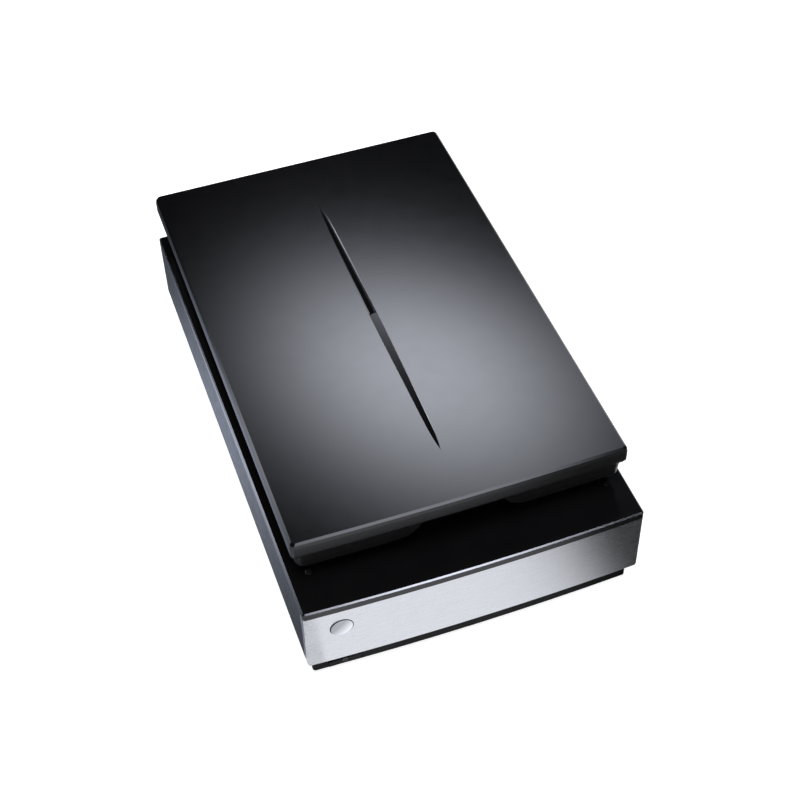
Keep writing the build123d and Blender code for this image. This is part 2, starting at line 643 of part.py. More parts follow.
def hinge_post(x):
    """Flat post that slides in the base and carries the lid's hinge at its head."""
    bar = block((x - POST_W / 2, x + POST_W / 2), (PIN_Y - POST_D / 2, PIN_Y + POST_D / 2),
                (POST_FOOT, PIN_Z))
    head = rod_x((x - POST_W / 2, x + POST_W / 2), PIN_Y, PIN_Z, POST_D / 2)
    bore = rod_x((x - POST_W, x + POST_W), PIN_Y, PIN_Z, PIN_R + 0.05)
    return bar + head - bore


def post_guides():
    """Square sleeves under the deck that the hinge posts slide in."""
    top = DECK_TOP - DECK_PLATE
    sleeves = []
    for x in (-POST_X, POST_X):
        outer = block((x - POST_W / 2 - 2.3, x + POST_W / 2 + 2.3),
                      (PIN_Y - POST_D / 2 - 2.3, PIN_Y + POST_D / 2 + 2.3), (POST_FOOT - 4, top))
        inner = block((x - POST_W / 2 - CLEAR, x + POST_W / 2 + CLEAR),
                      (PIN_Y - POST_D / 2 - CLEAR, PIN_Y + POST_D / 2 + CLEAR),
                      (POST_FOOT - CLEAR, top + 1))
        sleeves.append(outer - inner)
    return group(sleeves)


def hinge_brackets():
    """Pairs of ears under the lid, either side of each post's head."""
    brackets = []
    for x in (-POST_X, POST_X):
        half = POST_W / 2
        bracket = block((x - half - 3.3, x + half + 3.3), (PIN_Y - 10, PIN_Y + POST_D / 2),
                        (BAND_BOTTOM - 1.2, BAND_BOTTOM))
        for side in (-1, 1):
            span = sorted((x + side * (half + CLEAR), x + side * (half + 3.3)))
            bracket += rod_x(span, PIN_Y, PIN_Z, POST_D / 2)
            bracket += block(span, (PIN_Y - POST_D / 2, PIN_Y + POST_D / 2), (PIN_Z, BAND_BOTTOM))
        brackets.append(bracket - rod_x((x - 2 * half, x + 2 * half), PIN_Y, PIN_Z, PIN_R))
    return group(brackets)


def hinge_pins():
    reach = POST_W / 2 + 4.5
    return group(rod_x((x - reach, x + reach), PIN_Y, PIN_Z, PIN_R) for x in (-POST_X, POST_X))


# ---------------------------------------------------------------- lid

def slit_outline(share, z):
    """Outline of the groove at height z, its width multiplied by share: straight sides and long tips."""
    half = SLIT_HALF * share
    near = [(width, SLIT_FRONT + (SLIT_CREASE - SLIT_FRONT) * along) for along, width in SLIT_TAPER]
    far = [(width, SLIT_REAR + (SLIT_CREASE - SLIT_REAR) * along) for along, width in reversed(SLIT_TAPER)]
    right = [(half * width, y) for width, y in near + far]
    left = [(-x, y) for x, y in reversed(right)]
    front, rear = (0, SLIT_FRONT), (0, SLIT_REAR)
    return Pos(0, 0, z) * make_face([Spline(front, *right, rear), Spline(rear, *left, front)])


def above_floor(y, roll):
    """Cross-section of the space over the groove's floor, which is rolled about the groove's length."""
    reach, middle = SLIT_HALF + 1, HEIGHT - SLIT_DEPTH
    drop = reach * math.tan(math.radians(roll))
    corners = [(-reach, y, middle + drop), (reach, y, middle - drop),
               (reach, y, HEIGHT + 2), (-reach, y, HEIGHT + 2)]
    return make_face(Polyline(*corners, close=True))


def above_floor_between(start, start_roll, end, end_roll):
    """Space over a stretch of floor whose roll changes steadily from start to end."""
    return loft([above_floor(start, start_roll), above_floor(end, end_roll)], ruled=True)


def slit_groove():
    """Groove of the lid: a steeply rolled rear floor meets a front floor that twists towards the tip."""
    inner = 1 - SLIT_EDGE_SHARE
    prism = extrude(slit_outline(inner, HEIGHT - 2 * SLIT_DEPTH), 3 * SLIT_DEPTH, dir=(0, 0, 1))
    rear = above_floor_between(SLIT_CREASE, SLIT_REAR_ROLL, SLIT_REAR + 1, SLIT_REAR_ROLL)
    front = above_floor_between(SLIT_CREASE, SLIT_CREASE_ROLL, SLIT_FRONT - 1, SLIT_TIP_ROLL)
    foot = slit_outline(inner, HEIGHT - SLIT_EDGE)
    edge = loft([foot, slit_outline(1 + SLIT_EDGE_SHARE, HEIGHT + SLIT_EDGE)])
    return (prism & rear) + (prism & front) + edge


def lid_profile(inset, z):
    """Lid cover outline drawn in by inset, laid at height z."""
    outline = plan(LID_HALF - inset, LID_FRONT + inset, REAR - inset * 0.1, LID_BOW, LID_CORNER_R)
    return Pos(0, 0, z) * outline


def lid_cover():
    """Glossy upper shell with two bevels round its top and a pointed groove along its middle."""
    face_foot, face_top, bevel_foot = SKIRT_BOTTOM + 2.5, HEIGHT - 5.2, HEIGHT - 1.8
    body = loft([lid_profile(1.0, SKIRT_BOTTOM), lid_profile(0, face_foot)])
    body += extrude(lid_profile(0, face_foot), face_top - face_foot)
    body += loft([lid_profile(0, face_top), lid_profile(0.6, bevel_foot)])
    body += loft([lid_profile(0.6, bevel_foot), lid_profile(2.4, HEIGHT)])
    inner = plan(LID_HALF - WALL, LID_FRONT + WALL, REAR - WALL, LID_BOW, 2.0)
    body -= slab(inner, (SKIRT_BOTTOM - 1, HEIGHT - LID_SKIN - 2.4))
    core = plan(LID_HALF - 6, LID_FRONT + 6, REAR - 6, LID_BOW, 2.0)
    body -= slab(core, (SKIRT_BOTTOM - 1, HEIGHT - LID_SKIN))
    body += block((-6, 6), (SLIT_FRONT - 4, SLIT_REAR + 4), (HEIGHT - LID_SKIN - 1.5, HEIGHT - LID_SKIN))
    for x, y in LID_SCREWS:
        body += rod_z(x, y, (BAND_BOTTOM + WALL, HEIGHT - LID_SKIN), 3.4)
        body -= rod_z(x, y, (BAND_BOTTOM, BAND_BOTTOM + 14), 1.5)
    return body - slit_groove()


def notch(margin):
    """Finger recess of the lid's front, flared downwards by an arc at each end, grown by margin."""
    top, foot = (NOTCH_TOP + margin, SKIRT_BOTTOM + margin), (NOTCH_FOOT + margin, BAND_BOTTOM)
    below = BAND_BOTTOM - 3.0
    right_half = make_face([
        Line((0, below), (foot[0], below)),
        Line((foot[0], below), foot),
        TangentArc(foot, top, tangent=(-1, 0)),
        Line(top, (0, top[1])),
        Line((0, top[1]), (0, below)),
    ])
    face = right_half + mirror(right_half, Plane.YZ)
    upright = Location(Plane(origin=(0, BAND_FRONT - 4, 0), x_dir=(1, 0, 0), z_dir=(0, -1, 0)))
    return extrude(upright * face, NOTCH_DEPTH + 4 + margin, dir=(0, 1, 0))


def lid_housing():
    """Lower shell of the lid: a set-back band all round and a deep pod over the glass."""
    foot_inset = 1.4
    floor = BAND_BOTTOM + WALL
    top_face = Pos(0, 0, SKIRT_BOTTOM) * plan(BAND_HALF, BAND_FRONT, BAND_REAR, LID_BOW, 8.0)
    foot_face = plan(BAND_HALF - foot_inset, BAND_FRONT + foot_inset, BAND_REAR, LID_BOW, 8.0)
    shell = loft([Pos(0, 0, BAND_BOTTOM) * foot_face, top_face])
    lip_gap = WALL + CLEAR
    lip = plan(LID_HALF - lip_gap, LID_FRONT + lip_gap, REAR - lip_gap, LID_BOW, 2.0)
    shell += slab(lip, (SKIRT_BOTTOM, LIP_TOP))
    pod = block((-POD_HALF, POD_HALF), (POD_FRONT, POD_REAR), (POD_BOTTOM, BAND_BOTTOM))
    shell += fillet(pod.edges().filter_by(Axis.Z), 4)
    shell -= notch(0)
    room = slab(plan(BAND_HALF - 4, BAND_FRONT + 4, BAND_REAR - 3, LID_BOW, 5.0), (floor, LIP_TOP + 1))
    shell -= room - notch(WALL)
    shell -= block((-POD_HALF + WALL, POD_HALF - WALL), (POD_FRONT + WALL, POD_REAR - WALL),
                   (POD_BOTTOM + WALL, floor + 1))
    shell -= block((-WINDOW_HALF, WINDOW_HALF), WINDOW_Y, (POD_BOTTOM - 1, POD_BOTTOM + WALL + 1))
    for x, y in LID_SCREWS:
        shell -= rod_z(x, y, (BAND_BOTTOM - 1, floor + 1), 1.6)
    return shell


def lid_window():
    """Opal diffuser in the floor of the pod, lit from above for film."""
    return block((-WINDOW_HALF, WINDOW_HALF), WINDOW_Y, (POD_BOTTOM, POD_BOTTOM + 2.2))


def document_mat():
    """White pad that hooks under the pod and presses paper on the glass."""
    pad = block((-114, 114), (-171, 151), (DECK_TOP + CLEAR, POD_BOTTOM))
    return fillet(pad.edges().filter_by(Axis.Z), 3)


def lamp_span():
    return (HOME_Y - LAMP_LEN / 2, HOME_Y + LAMP_LEN / 2)


def lamp_holder():
    """Trough that carries the film lamp along the lid."""
    y = lamp_span()
    tray = block((-LAMP_HALF, LAMP_HALF), y, (123.0, 136.0))
    tray -= block((-LAMP_HALF + 2, LAMP_HALF - 2), (y[0] + 2, y[1] - 2), (121.0, 134.0))
    arm = block((LID_ROD_X - 5, -LAMP_HALF), y, (LID_ROD_Z - 4.6, LID_ROD_Z + 5))
    arm -= rod_y(LID_ROD_X, (y[0] - 1, y[1] + 1), LID_ROD_Z, LID_ROD_R + 0.05)
    foot = block((LAMP_HALF, LID_BELT_X - LID_PULLEY_R - BELT_T - 1.0), (HOME_Y - 8, HOME_Y + 8),
                 (123.0, 136.0))
    reach = LID_BELT_X - LID_PULLEY_R
    grip = block((LAMP_HALF + 6, reach - BELT_T - CLEAR), (HOME_Y - 8, HOME_Y + 8), (136.0, LID_BELT_Z[1]))
    return tray + arm + foot + grip


def film_lamp():
    """Light source across the lid: a white diode strip behind a round light guide."""
    return rod_x((-LAMP_HALF + 2, LAMP_HALF - 2), HOME_Y, 128.0, 4.0)


def lid_guide_rod():
    return rod_y(LID_ROD_X, (-198, 222), LID_ROD_Z, LID_ROD_R)


def lid_mounts():
    """Blocks for the lamp rod's ends and the post that the lid's idler turns on."""
    floor = BAND_BOTTOM + WALL
    pieces = []
    for y in ((-198, -190), (214, 222)):
        holder = block((LID_ROD_X - 5.5, LID_ROD_X + 6), y, (floor, LID_ROD_Z + 5.5))
        pieces.append(holder - rod_y(LID_ROD_X, (y[0] - 1, y[1] + 1), LID_ROD_Z, LID_ROD_R))
    post = rod_z(LID_BELT_X, LID_PULLEY_Y[0], (floor, 139.0), 5.0)
    pieces.append(post + rod_z(LID_BELT_X, LID_PULLEY_Y[0], (139.0, 147.0), 1.5))
    return group(pieces)


def lid_motor():
    """Small motor that moves the film lamp."""
    floor = BAND_BOTTOM + WALL
    can = rod_z(LID_BELT_X, LID_PULLEY_Y[1], (floor, 138.0), 11.0)
    return can + rod_z(LID_BELT_X, LID_PULLEY_Y[1], (138.0, 139.0), 3.0)


def lid_pulley(y, bore):
    drum = pulley(LID_PULLEY_R - CLEAR, LID_PULLEY_R + 2.0, 6.4, bore)
    return Pos(LID_BELT_X, y, LID_BELT_Z[0] - 1.2) * drum


def lid_idler_pulley():
    return lid_pulley(LID_PULLEY_Y[0], 1.55)


def lid_drive_pulley():
    """Pulley with the end of the lid motor's shaft."""
    shaft = rod_z(LID_BELT_X, LID_PULLEY_Y[1], (139.3, 147.0), 1.5)
    return lid_pulley(LID_PULLEY_Y[1], 1.5) + shaft


def lid_belt():
    loop = belt_loop(LID_PULLEY_R, BELT_T, LID_PULLEY_Y, LID_BELT_Z[1] - LID_BELT_Z[0])
    return Location(Plane(origin=(LID_BELT_X, 0, LID_BELT_Z[0]), x_dir=(0, 1, 0), z_dir=(0, 0, 1))) * loop


def lid_screws():
    """Screws from below that hold the lid's two shells together."""
    return group(pan_head_screw(x, y, BAND_BOTTOM, 14.0) for x, y in LID_SCREWS)


# ---------------------------------------------------------------- all nodes

NODES = {
    "base_tray": base_tray,
    "case_shell": case_shell,
    "deck_frame": deck_frame,
    "document_glass": document_glass,
    "front_fascia": front_fascia,
    "rear_panel": rear_panel,
    "rubber_feet": rubber_feet,
    "lid_rest_pads": lid_rest_pads,
    "case_screws": case_screws,
    "start_button": start_button,
    "power_button": power_button,
    "transport_lock": transport_lock,
    "button_switches": button_switches,
    "status_light": status_light,
    "carriage_housing": carriage_housing,
    "carriage_bushes": carriage_bushes,
    "carriage_glide": carriage_glide,
    "carriage_cover": carriage_cover,
    "light_guides": light_guides,
    "led_block": led_block,
    "fold_mirrors": fold_mirrors,
    "lens_barrels": lens_barrels,
    "lens_elements": lens_elements,
    "sensor_board": sensor_board,
    "belt_clamp": belt_clamp,
    "guide_rod": guide_rod,
    "rod_holders": rod_holders,
    "support_rail": support_rail,
    "drive_bracket": drive_bracket,
    "stepper_motor": stepper_motor,
    "motor_pinion": motor_pinion,
    "drive_gear": drive_gear,
    "idler_bracket": idler_bracket,
    "idler_pulley": idler_pulley,
    "tension_spring": tension_spring,
    "drive_belt": drive_belt,
    "main_board": main_board,
    "board_parts": board_parts,
    "power_inlet": power_inlet,
    "usb_socket": usb_socket,
    "lamp_socket": lamp_socket,
    "hinge_post_left": lambda: hinge_post(-POST_X),
    "hinge_post_right": lambda: hinge_post(POST_X),
    "post_guides": post_guides,
    "hinge_brackets": hinge_brackets,
    "hinge_pins": hinge_pins,
    "lid_cover": lid_cover,
    "lid_housing": lid_housing,
    "lid_window": lid_window,
    "document_mat": document_mat,
    "lid_screws": lid_screws,
    "lamp_holder": lamp_holder,
    "film_lamp": film_lamp,
    "lid_guide_rod": lid_guide_rod,
    "lid_mounts": lid_mounts,
    "lid_motor": lid_motor,
    "lid_drive_pulley": lid_drive_pulley,
    "lid_idler_pulley": lid_idler_pulley,
    "lid_belt": lid_belt,
}

for name, make in NODES.items():
    export_step(make(), f"parts/{name}.step")
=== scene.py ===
import json
import math

import bpy
from mathutils import Matrix, Vector


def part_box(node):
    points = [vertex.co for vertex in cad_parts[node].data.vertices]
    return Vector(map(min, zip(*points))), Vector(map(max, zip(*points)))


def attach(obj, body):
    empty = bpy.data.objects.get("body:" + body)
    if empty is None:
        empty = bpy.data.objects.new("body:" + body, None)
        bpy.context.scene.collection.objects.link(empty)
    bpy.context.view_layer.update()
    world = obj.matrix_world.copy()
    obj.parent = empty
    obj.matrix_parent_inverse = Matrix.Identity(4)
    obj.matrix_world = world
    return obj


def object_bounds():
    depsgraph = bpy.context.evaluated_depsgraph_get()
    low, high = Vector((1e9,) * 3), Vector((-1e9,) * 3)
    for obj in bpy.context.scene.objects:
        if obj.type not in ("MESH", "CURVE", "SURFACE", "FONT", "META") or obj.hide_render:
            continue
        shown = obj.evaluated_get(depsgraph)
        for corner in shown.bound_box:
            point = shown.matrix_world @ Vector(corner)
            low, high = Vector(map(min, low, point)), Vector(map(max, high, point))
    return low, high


# Flatbed scanner: looks, lights and camera. Metres, in the frame of the CAD model:
# +Z up, -Y the front, origin on the table under the middle of the object.

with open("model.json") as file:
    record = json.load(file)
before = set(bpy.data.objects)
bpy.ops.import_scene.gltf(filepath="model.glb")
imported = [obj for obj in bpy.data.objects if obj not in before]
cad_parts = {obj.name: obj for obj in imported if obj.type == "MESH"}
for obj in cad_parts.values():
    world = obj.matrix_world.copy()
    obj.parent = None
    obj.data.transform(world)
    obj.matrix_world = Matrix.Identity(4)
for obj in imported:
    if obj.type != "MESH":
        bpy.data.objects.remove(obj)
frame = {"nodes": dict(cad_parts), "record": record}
cad_low, cad_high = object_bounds()
node = frame["nodes"]

HAIR = 0.00006            # how far printed marks stand off the surface under them

# ---------------------------------------------------------------- camera

CAMERA_PLACE = Vector((-0.30184, -0.96077, 1.15084))
CAMERA_AZIMUTH = math.radians(18.411)     # turned to the right of straight ahead
CAMERA_DOWN = math.radians(47.542)        # looks this far below the horizon
CAMERA_ROLL = math.radians(-1.688)
LENS_MM = 69.56                           # on a 36 mm sensor


def add_camera():
    az, down = CAMERA_AZIMUTH, CAMERA_DOWN
    ahead = Vector((math.sin(az) * math.cos(down), math.cos(az) * math.cos(down), -math.sin(down)))
    right = Vector((math.cos(az), -math.sin(az), 0.0))
    up = right.cross(ahead)
    cam_right = math.cos(CAMERA_ROLL) * right + math.sin(CAMERA_ROLL) * up
    cam_up = -math.sin(CAMERA_ROLL) * right + math.cos(CAMERA_ROLL) * up
    turn = Matrix((cam_right, cam_up, -ahead)).transposed()
    data = bpy.data.cameras.new("camera")
    data.lens = LENS_MM
    data.sensor_width = 36.0
    data.clip_start = 0.05
    data.clip_end = 60.0
    camera = bpy.data.objects.new("camera", data)
    camera.matrix_world = Matrix.Translation(CAMERA_PLACE) @ turn.to_4x4()
    bpy.context.scene.collection.objects.link(camera)
    bpy.context.scene.camera = camera


# ---------------------------------------------------------------- materials

def new_material(name):
    """Node material with its shader, plus object coordinates in metres."""
    material = bpy.data.materials.new(name)
    material.use_nodes = True
    tree = material.node_tree
    shader = tree.nodes["Principled BSDF"]
    coords = tree.nodes.new("ShaderNodeTexCoord")
    return material, tree, shader, coords.outputs["Object"]


def noise(tree, coords, scale, detail=4.0, stretch=(1.0, 1.0, 1.0)):
    """Noise with this many features per metre, drawn out along an axis where stretch is below 1."""
    mapping = tree.nodes.new("ShaderNodeMapping")
    mapping.inputs["Scale"].default_value = stretch
    texture = tree.nodes.new("ShaderNodeTexNoise")
    texture.inputs["Scale"].default_value = scale
    texture.inputs["Detail"].default_value = detail
    tree.links.new(coords, mapping.inputs["Vector"])
    tree.links.new(mapping.outputs["Vector"], texture.inputs["Vector"])
    return texture.outputs["Fac"]


def spread(tree, source, low, high, start=0.3, end=0.7):
    """Maps a texture's middle range onto low to high."""
    ramp = tree.nodes.new("ShaderNodeMapRange")
    ramp.inputs["From Min"].default_value = start
    ramp.inputs["From Max"].default_value = end
    ramp.inputs["To Min"].default_value = low
    ramp.inputs["To Max"].default_value = high
    tree.links.new(source, ramp.inputs["Value"])
    return ramp.outputs["Result"]


def colour_mix(tree, source, dark, light):
    """Colour that runs from dark to light with the source."""
    mix = tree.nodes.new("ShaderNodeMix")
    mix.data_type = "RGBA"
    mix.inputs["A"].default_value = (*dark, 1.0)
    mix.inputs["B"].default_value = (*light, 1.0)
    tree.links.new(source, mix.inputs["Factor"])
    return mix.outputs["Result"]


def math_node(tree, operation, *values):
    """Output of a Math node whose inputs are sockets or numbers."""
    node_math = tree.nodes.new("ShaderNodeMath")
    node_math.operation = operation
    for socket, value in zip(node_math.inputs, values):
        if isinstance(value, (int, float)):
            socket.default_value = value
        else:
            tree.links.new(value, socket)
    return node_math.outputs["Value"]


def bump(tree, shader, height, strength, depth):
    node_bump = tree.nodes.new("ShaderNodeBump")
    node_bump.inputs["Strength"].default_value = strength
    node_bump.inputs["Distance"].default_value = depth
    tree.links.new(height, node_bump.inputs["Height"])
    tree.links.new(node_bump.outputs["Normal"], shader.inputs["Normal"])


def plastic(name, dark, light, rough, grain, depth, specular=0.5, strength=0.4):
    """Moulded plastic: slightly mottled colour, uneven gloss and a fine grain."""
    material, tree, shader, coords = new_material(name)
    mottle = spread(tree, noise(tree, coords, 35.0, 3.0), 0.0, 1.0)
    tree.links.new(colour_mix(tree, mottle, dark, light), shader.inputs["Base Color"])
    tree.links.new(spread(tree, noise(tree, coords, 140.0), *rough), shader.inputs["Roughness"])
    shader.inputs["Specular IOR Level"].default_value = specular
    bump(tree, shader, noise(tree, coords, grain, 3.0), strength, depth)
    return material


def metal(name, dark, light, rough, stretch, scale=900.0, depth=0.00004, anisotropy=0.0):
    """Metal with its working marks drawn out along one axis."""
    material, tree, shader, coords = new_material(name)
    marks = noise(tree, coords, scale, 5.0, stretch)
    colour = colour_mix(tree, spread(tree, marks, 0.0, 1.0), dark, light)
    tree.links.new(colour, shader.inputs["Base Color"])
    tree.links.new(spread(tree, marks, *rough), shader.inputs["Roughness"])
    shader.inputs["Metallic"].default_value = 1.0
    shader.inputs["Anisotropic"].default_value = anisotropy
    shader.inputs["Anisotropic Rotation"].default_value = 0.25
    bump(tree, shader, marks, 0.35, depth)
    return material


ALONG_X = (0.02, 1.0, 1.0)        # stretches that draw a texture out along one axis
ALONG_Y = (1.0, 0.02, 1.0)
ALONG_Z = (1.0, 1.0, 0.02)
FRONT_CHAMFER_HIGHLIGHT = (0.38, 0.382, 0.39)  # painted highlight on the chamfer of the deck, along its front
SIDE_CHAMFER_HIGHLIGHT = (0.16, 0.162, 0.17)   # and a dimmer painted highlight on it along its sides and rear


def normal_parts(tree):
    """The surface's true direction as X, Y and Z."""
    geometry = tree.nodes.new("ShaderNodeNewGeometry")
    facing = tree.nodes.new("ShaderNodeSeparateXYZ")
    tree.links.new(geometry.outputs["True Normal"], facing.inputs["Vector"])
    return facing


def lid_gloss():
    """Deep black gloss with a faint orange peel and hairline wear, satin on the upright sides, whose colour
    is painted a little lighter than the top as painted light.
    """
    material, tree, shader, coords = new_material("lid_gloss")
    facing = normal_parts(tree)
    side = math_node(tree, "LESS_THAN", facing.outputs["Z"], 0.3)
    wear = spread(tree, noise(tree, coords, 18.0, 6.0), 0.0, 0.25)
    # Upright faces get a lighter colour than the top, which is painted light; the noise adds hairline wear
    # over it.
    painted_light_tone = math_node(tree, "MULTIPLY_ADD", side, 0.75, wear)
    tree.links.new(colour_mix(tree, painted_light_tone, (0.0035, 0.0035, 0.004), (0.0055, 0.0055, 0.006)),
                   shader.inputs["Base Color"])
    rough = spread(tree, noise(tree, coords, 60.0, 6.0), 0.10, 0.12)
    tree.links.new(math_node(tree, "MULTIPLY_ADD", side, 0.26, rough), shader.inputs["Roughness"])
    shader.inputs["Specular IOR Level"].default_value = 0.5
    bump(tree, shader, noise(tree, coords, 700.0, 2.0), 0.12, 0.00001)
    return material


def deck_gloss():
    """Black top that hardly shines, satin sides and a chamfer between them painted as silver metal, a
    painted highlight that is brighter along the front.
    """
    material, tree, shader, coords = new_material("deck_gloss")
    facing = normal_parts(tree)
    top = math_node(tree, "GREATER_THAN", facing.outputs["Z"], 0.95)
    not_side = math_node(tree, "GREATER_THAN", facing.outputs["Z"], 0.3)
    edge = math_node(tree, "SUBTRACT", not_side, top)
    mottle = spread(tree, noise(tree, coords, 35.0, 3.0), 0.0, 1.0)
    black = colour_mix(tree, mottle, (0.004, 0.004, 0.0045), (0.005, 0.005, 0.0055))
    mix = tree.nodes.new("ShaderNodeMix")
    mix.data_type = "RGBA"
    # The chamfer's silver metal is a painted highlight, brighter where it faces the front than on the sides
    # and rear.
    front = math_node(tree, "LESS_THAN", facing.outputs["Y"], -0.3)
    tree.links.new(colour_mix(tree, front, SIDE_CHAMFER_HIGHLIGHT, FRONT_CHAMFER_HIGHLIGHT), mix.inputs["B"])
    tree.links.new(black, mix.inputs["A"])
    tree.links.new(edge, mix.inputs["Factor"])
    tree.links.new(mix.outputs["Result"], shader.inputs["Base Color"])
    tree.links.new(edge, shader.inputs["Metallic"])
    tree.links.new(math_node(tree, "MULTIPLY_ADD", top, -0.28, 0.31), shader.inputs["Specular IOR Level"])
    tree.links.new(spread(tree, noise(tree, coords, 140.0), 0.15, 0.19), shader.inputs["Roughness"])
    bump(tree, shader, noise(tree, coords, 1500.0, 3.0), 0.4, 0.00001)
    return material


def start_lacquer_painted_shade():
    """Silver lacquer of the dished start button, with painted shade toward its upper left and a painted
    highlight toward its lower right.
    """
    material, tree, shader, coords = new_material("button_silver")
    low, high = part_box("start_button")
    centre = (low + high) / 2
    place = tree.nodes.new("ShaderNodeSeparateXYZ")
    tree.links.new(coords, place.inputs["Vector"])
    across = math_node(tree, "SUBTRACT", place.outputs["X"], place.outputs["Z"])
    middle = centre.x - centre.z
    reach = (high.x - low.x) * 0.45
    # Painted shade: the colour darkens toward the upper left and pales to a painted highlight at the lower
    # right.
    painted_light_tone = spread(tree, across, 0.0, 1.0, middle - reach * 0.5, middle + reach * 1.2)
    tree.links.new(colour_mix(tree, painted_light_tone, (0.36, 0.375, 0.385), (0.80, 0.81, 0.83)),
                   shader.inputs["Base Color"])
    tree.links.new(spread(tree, noise(tree, coords, 900.0), 0.30, 0.36), shader.inputs["Roughness"])
    shader.inputs["Metallic"].default_value = 1.0
    bump(tree, shader, noise(tree, coords, 2600.0, 3.0), 0.4, 0.00001)
    return material


def clear(name, tint, rough, ior):
    """Transparent plastic or glass with faint smears in its gloss."""
    material, tree, shader, coords = new_material(name)
    shader.inputs["Base Color"].default_value = (*tint, 1.0)
    shader.inputs["Transmission Weight"].default_value = 1.0
    shader.inputs["IOR"].default_value = ior
    tree.links.new(spread(tree, noise(tree, coords, 25.0, 6.0), *rough), shader.inputs["Roughness"])
    return material


def circuit_board():
    """Green solder mask over a pattern of copper tracks."""
    material, tree, shader, coords = new_material("board_green")
    tracks = tree.nodes.new("ShaderNodeTexBrick")
    tracks.inputs["Scale"].default_value = 260.0
    tracks.inputs["Mortar Size"].default_value = 0.09
    tree.links.new(coords, tracks.inputs["Vector"])
    colour = colour_mix(tree, tracks.outputs["Fac"], (0.012, 0.07, 0.03), (0.03, 0.16, 0.07))
    tree.links.new(colour, shader.inputs["Base Color"])
    tree.links.new(spread(tree, noise(tree, coords, 90.0), 0.25, 0.4), shader.inputs["Roughness"])
    bump(tree, shader, tracks.outputs["Fac"], 0.5, 0.00004)
    return material


